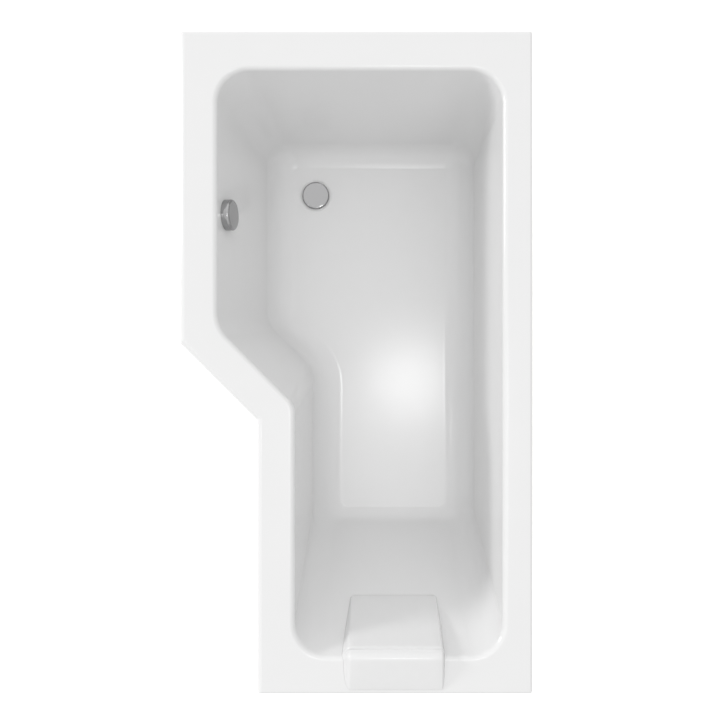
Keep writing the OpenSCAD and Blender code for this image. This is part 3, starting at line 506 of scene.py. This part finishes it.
def arc_levels(radius, steps, reach):
    """Heights along an arc that starts level and turns by reach degrees."""
    return [radius * (1 - math.cos(math.radians(reach * k / steps))) for k in range(steps + 1)]


wall_slope = 90 - min(side.lean for side in sides)
high_cove = max(side.cove for side in sides)
front_roll = max(side.edge_roll for side in sides)
cove_depths = [well_depth - rise for rise in arc_levels(high_cove, cove_steps, wall_slope)]
roll_depths = arc_levels(well_roll, roll_steps, wall_slope)[::-1]
top_of_coves, bottom_of_roll = cove_depths[-1], roll_depths[0]
wall_depths = [top_of_coves + (bottom_of_roll - top_of_coves) * k / wall_steps
               for k in range(1, wall_steps)]
edge_depths = arc_levels(front_roll, roll_steps, 90)
top_skin = [well_outline(depth) for depth in cove_depths + wall_depths + roll_depths]
top_skin += [edge_outline(depth) for depth in edge_depths + [edge_height]]
under_skin = [edge_outline(depth, sheet) for depth in [edge_height] + edge_depths[:0:-1] if depth > sheet]
under_skin += [edge_outline(sheet, sheet)]
well_depths = roll_depths[::-1] + wall_depths[::-1] + cove_depths[::-1] + [well_depth + sheet]
under_skin += [well_outline(depth, sheet) for depth in [sheet] + well_depths if depth >= sheet]
print("levels:", len(top_skin), "above and", len(under_skin), "below, points in each:", len(top_skin[0]))

# %% The moulding's mesh
points, faces = lofted(top_skin + under_skin, closed_ends=True)
moulding = piece("bath_moulding", points, faces, [acrylic, resin], "bath_shell")
face_outwards(moulding)
around = len(top_skin[0])
first_under = (len(top_skin) - 1) * around
for face in moulding.data.polygons:
    if min(face.vertices) >= first_under:
        face.material_index = 1
print("moulding faces:", len(moulding.data.polygons))

# %% [markdown]
# ### Holes for the waste and the overflow
# Fittings go into holes that are cut after moulding. The waste sits in a recess with a rounded edge,
# and the floor dips softly towards it, so its cutter is turned like a pot on a wheel. The holes could be
# left out under their fittings, but then the back of the floor would show none. Boolean modifiers cut
# them, and a weighted normal modifier keeps the large flat areas flat in the light.

# %% Turned cutters
spoke_count, lip_steps = 96, 8


def turned(name, profile, matrix):
    """A solid of revolution about its own Z, closed flat at both ends of its profile."""
    spokes = [direction(360 * k / spoke_count) for k in range(spoke_count)]
    loops = [[matrix @ Vector((r * s.x, r * s.y, z)) for s in spokes] for r, z in profile]
    points, faces = lofted(loops, closed_ends=True)
    thing = piece(name, points, faces, [], None)
    face_outwards(thing)
    return thing


def rounded_over(radius, lip, z):
    """A quarter round from a hole's wall out to the flat face at z."""
    bends = [math.radians(90 * k / lip_steps) for k in range(lip_steps + 1)]
    return [(radius + lip * (1 - math.cos(a)), z - lip * (1 - math.sin(a))) for a in bends]


def cut(thing, cutter, operation="DIFFERENCE"):
    change = thing.modifiers.new(cutter.name, "BOOLEAN")
    change.object, change.operation, change.solver = cutter, operation, "EXACT"


def bake_modifiers(thing, helpers):
    """Replaces the mesh by what its modifiers make of it, and clears the helpers away."""
    view = bpy.context.evaluated_depsgraph_get()
    result = bpy.data.meshes.new_from_object(thing.evaluated_get(view), depsgraph=view)
    thing.modifiers.clear()
    thing.data = result
    for helper in helpers:
        bpy.data.objects.remove(helper)


# %% Cut the holes
flange_low, flange_high = [Vector(corner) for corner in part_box("waste_flange")]
waste_centre = (flange_low + flange_high) / 2
floor_z = rim_height - well_depth
recess_radius, recess_depth, recess_lip = 36.5 * MM, 3.5 * MM, 1.2 * MM
dish_radius, dish_depth = 45 * MM, 1.2 * MM
waste_hole, boss_radius, boss_depth = 26 * MM, 49 * MM, 4 * MM
past, hair, dish_steps = 2 * sheet, 0.02 * MM, 8
at_waste = Matrix.Translation((waste_centre.x, waste_centre.y, 0))
recess_floor, dish_floor = floor_z - recess_depth, floor_z - dish_depth
dish_start = recess_radius + recess_lip
dish_slope = [(dish_start + (dish_radius - dish_start) * k / dish_steps,
               dish_floor + dish_depth * (1 - math.cos(math.pi * k / dish_steps)) / 2)
              for k in range(1, dish_steps)]
dish = turned("dish_cutter", [
    (waste_hole, floor_z - past), (waste_hole, recess_floor), (recess_radius, recess_floor),
    *rounded_over(recess_radius, recess_lip, dish_floor), *dish_slope,
    (dish_radius, floor_z + hair), (dish_radius, floor_z + past)], at_waste)
under_floor = floor_z - sheet
boss_floor = under_floor - boss_depth
boss = turned("boss", [(boss_radius - MM, boss_floor), (boss_radius, boss_floor + MM),
                       (boss_radius, under_floor + MM)], at_waste)

overflow_depth, overflow_from_foot, overflow_hole = 62 * MM, 407 * MM, 27 * MM
overflow_at = Vector((-(front.outer - front.rim - wall_line(front, overflow_depth, 0.0)),
                      half_length - overflow_from_foot, rim_height - overflow_depth))
at_overflow = Matrix.Translation(overflow_at) @ Matrix.Rotation(math.radians(90 - front.lean), 4, "Y")
overflow_cut = turned("overflow_cutter", [(overflow_hole, -past), (overflow_hole, past)], at_overflow)

cut(moulding, boss, "UNION")
cut(moulding, dish)
cut(moulding, overflow_cut)
moulding.modifiers.new("flat areas stay flat", "WEIGHTED_NORMAL").keep_sharp = True
bake_modifiers(moulding, [dish, boss, overflow_cut])
print("moulding faces after cutting:", len(moulding.data.polygons))

# %% [markdown]
# ## The headrest
# The headrest is a soft moulded pad: a wedge that starts thin on the backrest, swells to a ridge over
# the bend, and thins out again across the rim. A sewn cushion would be puffed up as simulated cloth. This
# one comes out of a mould and has no seams to pull in, so its form is drawn as a loft of cross sections,
# each with one gentle and one steep side, and a fine grain is shaded on.

# %% Headrest finish
skin = Finish("soft white skin", grey(0.735), 0.18)
pores = skin.cells(1.3 * MM)
skin.set("Base Color", skin.blend(grey(0.735), grey(0.72), skin.noise(18 * MM)))
skin.set("Roughness", 0.14 + 0.08 * skin.noise(4 * MM))
skin.relief(pores, 0.02 * MM)
print("skin nodes:", len(skin.tree.nodes))

# %% Headrest section along the bath
pad_width, pad_drop, pad_thick, pad_rise = 206 * MM, 165 * MM, 24 * MM, 19 * MM
pad_shift, pad_from_edge, ridge_from_wall = 4 * MM, 10 * MM, 3 * MM
pad_middle = (half_width - narrow_x) / 2 + pad_shift
pad_end = half_length - pad_from_edge
pad_edge, pad_tip, pad_round, pad_crown = 1.2 * MM, 0.3 * MM, 9 * MM, 1.5 * MM
seat_gap = 0.3 * MM
front_steps, bend_steps, top_steps = 36, 8, 26
crowding = 1.6                                # draws the stations together towards the bend
front_swell, top_fall = 0.8, 0.85             # powers that round the two slopes
head_lean = lean_of(head)
head_rim = head.outer - head.rim
head_roll = head_rim + roll_start(head)


def off_backrest(depth, off):
    """A point off the backrest's face, as a distance towards the head end and a height."""
    return Vector((head_rim - depth * math.tan(head_lean) - off * math.cos(head_lean),
                   rim_height - depth + off * math.sin(head_lean)))


roll_depth = well_roll * (1 - math.sin(head_lean))
stations = []                                 # points under and on the pad, thickness, flanks' spread
for k in range(front_steps + 1):
    share = (k / front_steps) ** crowding
    depth = pad_drop + (roll_depth - pad_drop) * share
    thick = pad_edge + (pad_thick - pad_edge) * share ** front_swell
    stations.append((off_backrest(depth, seat_gap), off_backrest(depth, seat_gap + thick), thick, thick))

# %% Headrest section round the bend and over the rim
shoulder = stations[-1][1]
ridge = Vector((head_rim - ridge_from_wall, rim_height + pad_rise))
foot_radius = well_roll + seat_gap


def ridge_rise(share):
    """How much of the rise from shoulder to ridge is done: quick off the shoulder, easing at the ridge."""
    return min(1.25 * share, 1 - 1.6 * (1 - share) ** 2)


for k in range(1, bend_steps + 1):
    share = k / bend_steps
    turn = head_lean + (math.pi / 2 - head_lean) * share
    foot_point = Vector((head_roll - foot_radius * math.cos(turn),
                         rim_height - well_roll + foot_radius * math.sin(turn)))
    rounded = Vector((shoulder.x + (ridge.x - shoulder.x) * share,
                      shoulder.y + (ridge.y - shoulder.y) * ridge_rise(share)))
    thick = pad_thick + (pad_rise - pad_thick) * share
    stations.append((foot_point, rounded, thick, thick))
for k in range(1, top_steps + 1):
    share = 1 - (1 - k / top_steps) ** crowding
    thick = pad_tip + (pad_rise - pad_tip) * (1 - share) ** top_fall
    spread = pad_tip + (pad_rise - pad_tip) * math.sqrt(1 - share ** 3)
    stations.append((Vector((head_roll + (pad_end - head_roll) * share, rim_height + seat_gap)),
                     Vector((ridge.x + (pad_end - ridge.x) * share, rim_height + seat_gap + thick)),
                     thick, spread))
print("headrest stations:", len(stations))

# %% Headrest loops across the bath
front_flank, wall_flank = 0.85, 0.32          # width of the two sloping sides, as shares of the spread
flank = [(1.0, 0.0), (0.93, 0.04), (0.84, 0.14), (0.73, 0.3), (0.6, 0.5), (0.45, 0.7), (0.32, 0.83),
         (0.21, 0.91), (0.1, 0.96), (-0.04, 0.985), (-0.2, 1.0)]
top_columns = 5                               # strips in each half of the top


def pad_loop(low, high, thick, spread, gone):
    """The pad's outline at one station: flat foot, sloping sides, rounded shoulders, crowned top."""
    narrowing = pad_round - math.sqrt(pad_round ** 2 - (pad_round - min(pad_round, gone)) ** 2)
    half_top = pad_width / 2 - narrowing
    across = [(half_top + out * wall_flank * spread, up) for out, up in flank]
    across += [(half_top * k / top_columns, 1.0) for k in range(top_columns - 1, -top_columns, -1)]
    across += [(-half_top - out * front_flank * spread, up) for out, up in flank[::-1]]
    crown = pad_crown / max(thick, pad_crown) * min(1.0, thick / pad_thick)
    loop = []
    for x, up in across:
        away, height = low.lerp(high, up * (1 - crown * min(1.0, x / half_top) ** 2))
        loop.append((pad_middle + x, -away, height))
    return loop


start = stations[0][0]
loops = [pad_loop(*station, (station[0] - start).length) for station in stations]
points, faces = lofted(loops, closed_ends=True)
headrest = piece("headrest", points, faces, [skin], "headrest_pad")
face_outwards(headrest)
print("headrest points:", len(points))

# %% [markdown]
# ## The overflow hose
# A ribbed hose takes the overflow's water to the waste. It leaves the elbow straight down, turns in one
# smooth curve, and enters the waste's side level. A curve object with a round bevel would be a plain
# tube, so the ribs are drawn. The route is a Bezier, walked at even distances so that the ribs are evenly
# spaced, and each ring of the skin stands square to it.

# %% Hose route
hose_radius, hose_bore, rib_pitch, valley, cuff = 15 * MM, 11.5 * MM, 7 * MM, 2 * MM, 18 * MM
straight_run = 2 * hose_radius
spigot_level, elbow_reach = -24.2 * MM, 60 * MM
hose_drop, hose_sweep = 190 * MM, 140 * MM
curve_steps = 400
down = Vector((math.sin(math.radians(front.lean)), 0, -math.cos(math.radians(front.lean))))
off_wall = Vector((math.cos(math.radians(front.lean)), 0, math.sin(math.radians(front.lean))))
hose_start = overflow_at + elbow_reach * down + spigot_level * off_wall
inlet_low, inlet_high = [Vector(corner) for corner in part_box("overflow_inlet")]
hose_end = Vector((inlet_low.x, waste_centre.y, (inlet_low.z + inlet_high.z) / 2))
level = Vector((1, 0, 0))
guides = [hose_start + straight_run * down, hose_start + hose_drop * down,
          hose_end - hose_sweep * level, hose_end - straight_run * level]


def bezier(t):
    a, b, c, d = guides
    return (1 - t) ** 3 * a + 3 * (1 - t) ** 2 * t * b + 3 * (1 - t) * t * t * c + t ** 3 * d


samples = [bezier(k / curve_steps) for k in range(curve_steps + 1)]
distance = [0.0]
for near, far in zip(samples, samples[1:]):
    distance.append(distance[-1] + (far - near).length)
hose_length = distance[-1] + 2 * straight_run
print("hose length in metres:", round(hose_length, 3))


def hose_point(s):
    """The point of the route that is s metres along it."""
    if s <= straight_run:
        return hose_start + s * down
    if s >= hose_length - straight_run:
        return hose_end - (hose_length - s) * level
    s -= straight_run
    k = next(i for i in range(1, len(distance)) if distance[i] >= s)
    share = (s - distance[k - 1]) / (distance[k] - distance[k - 1])
    return samples[k - 1].lerp(samples[k], share)


# %% Hose rings
hose_sides = 28


def hose_ring(s, radius):
    """A round ring about the route, square to it, s metres along."""
    ahead, behind = hose_point(min(s + MM, hose_length)), hose_point(max(s - MM, 0.0))
    along = (ahead - behind).normalized()
    side_way = along.cross(Vector((0, 1, 0))).normalized()
    other_way = along.cross(side_way)
    centre = hose_point(s)
    return [centre + radius * (c.x * side_way + c.y * other_way)
            for c in (direction(360 * k / hose_sides) for k in range(hose_sides))]


# %% Hose skin
rib_count = round((hose_length - 2 * cuff) / rib_pitch)
rib_step = (hose_length - 2 * cuff) / rib_count
rib_profile = [(0.0, 0.0), (0.18, 0.12), (0.3, 0.5), (0.42, 0.95), (0.5, 1.0), (0.58, 0.95), (0.7, 0.5),
               (0.82, 0.12)]                  # shares of a rib's step along, and of the valley's depth
rings = [hose_ring(0.0, hose_radius)]
for k in range(rib_count):
    rings += [hose_ring(cuff + (k + along) * rib_step, hose_radius - valley * deep)
              for along, deep in rib_profile]
rings += [hose_ring(hose_length - cuff, hose_radius), hose_ring(hose_length, hose_radius)]
bore_rings = 40
rings += [hose_ring(hose_length * k / bore_rings, hose_bore) for k in range(bore_rings, -1, -1)]
points, faces = lofted(rings, closed_ends=False)
hose = piece("overflow_ribbed_hose", points, faces, [pipe_white], "overflow_hose")
face_outwards(hose)
print("hose ribs:", rib_count)

# %% [markdown]
# ## The studio
# The photograph looks straight down on the bath from about two metres above the rim, on a white ground.
# Most of the light comes from a soft sky, which is brightest overhead and towards the two ends. A lamp
# high above and a ceiling panel lie as soft patches on the well's floor. A low lamp at the open front
# side throws the headrest's shadow, and a small one puts the glint on the overflow cover. A picture of
# a real studio could light the bath too, but a formula for the sky and four lamps need no file, and each
# can be made stronger or weaker by itself.

# %% Floor
floor_finish = Finish("studio floor", grey(0.92), 0.8)
floor_finish.set("Emission Color", (1.0, 1.0, 1.0, 1.0))
floor_finish.set("Emission Strength", 0.20)
floor_half = 6.0
floor_corners = [(x * floor_half, y * floor_half, 0) for x, y in ((-1, -1), (1, -1), (1, 1), (-1, 1))]
floor = piece("studio_floor", floor_corners, [(0, 1, 2, 3)], [floor_finish], None)
print("studio floor, metres wide:", 2 * floor_half)

# %% Sky
sky_level, sky_overhead, sky_foot_end, sky_both_ends = 0.31, 0.80, 0.13, 0.56
world = bpy.data.worlds.new("soft sky")
bpy.context.scene.world = world
sky = Shading(world, "Background")
towards = sky.node("ShaderNodeTexCoord", output="Generated")
along = sky.node("ShaderNodeSeparateXYZ", None, {0: towards}, "Y")
up = sky.node("ShaderNodeSeparateXYZ", None, {0: towards}, "Z").larger(0.0)
sky.set("Color", (1.0, 1.0, 1.0, 1.0))
sky.set("Strength", sky_level + sky_overhead * up + sky_foot_end * along + sky_both_ends * (along * along))
print("sky nodes:", len(sky.tree.nodes))

# %% Lamps


def lamp(name, place, target, size, watts, length=None):
    """An oval lamp, size metres wide and length metres long, round where no length is given."""
    data = bpy.data.lights.new(name, "AREA")
    data.shape, data.size, data.energy = "ELLIPSE", size, watts
    data.size_y = length or size
    light = bpy.data.objects.new(name, data)
    light.location = place
    light.rotation_euler = (Vector(target) - Vector(place)).to_track_quat("-Z", "Y").to_euler()
    bpy.context.scene.collection.objects.link(light)


lamp("overhead lamp", (0.82, -0.25, 12.0), (0.13, -0.05, 0.15), size=1.25, watts=40.5)
lamp("ceiling panel", (0.31, -0.81, 5.15), (0.31, -0.81, 0.0), size=1.3, watts=9.0, length=1.6)
lamp("low front lamp", (-10.8, 3.0, 3.57), (0.0, 0.0, 0.57), size=2.0, watts=500.0, length=2.2)
lamp("glint lamp", (-1.96, -0.57, 4.68), (-0.11, 0.46, 0.15), size=0.25, watts=2.0)
print("lamps:", list(bpy.data.lights.keys()))

# %% Camera
camera_x, camera_y, camera_height_above_rim = 14 * MM, 1 * MM, 1.975
field_of_view = math.radians(45)
camera = bpy.data.objects.new("camera", bpy.data.cameras.new("camera"))
camera.data.lens = camera.data.sensor_width / 2 / math.tan(field_of_view / 2)
camera.location = (camera_x, camera_y, rim_height + camera_height_above_rim)
bpy.context.scene.collection.objects.link(camera)
bpy.context.scene.camera = camera
bpy.context.scene.view_settings.view_transform = "Standard"
print("camera lens in mm:", round(camera.data.lens, 2))
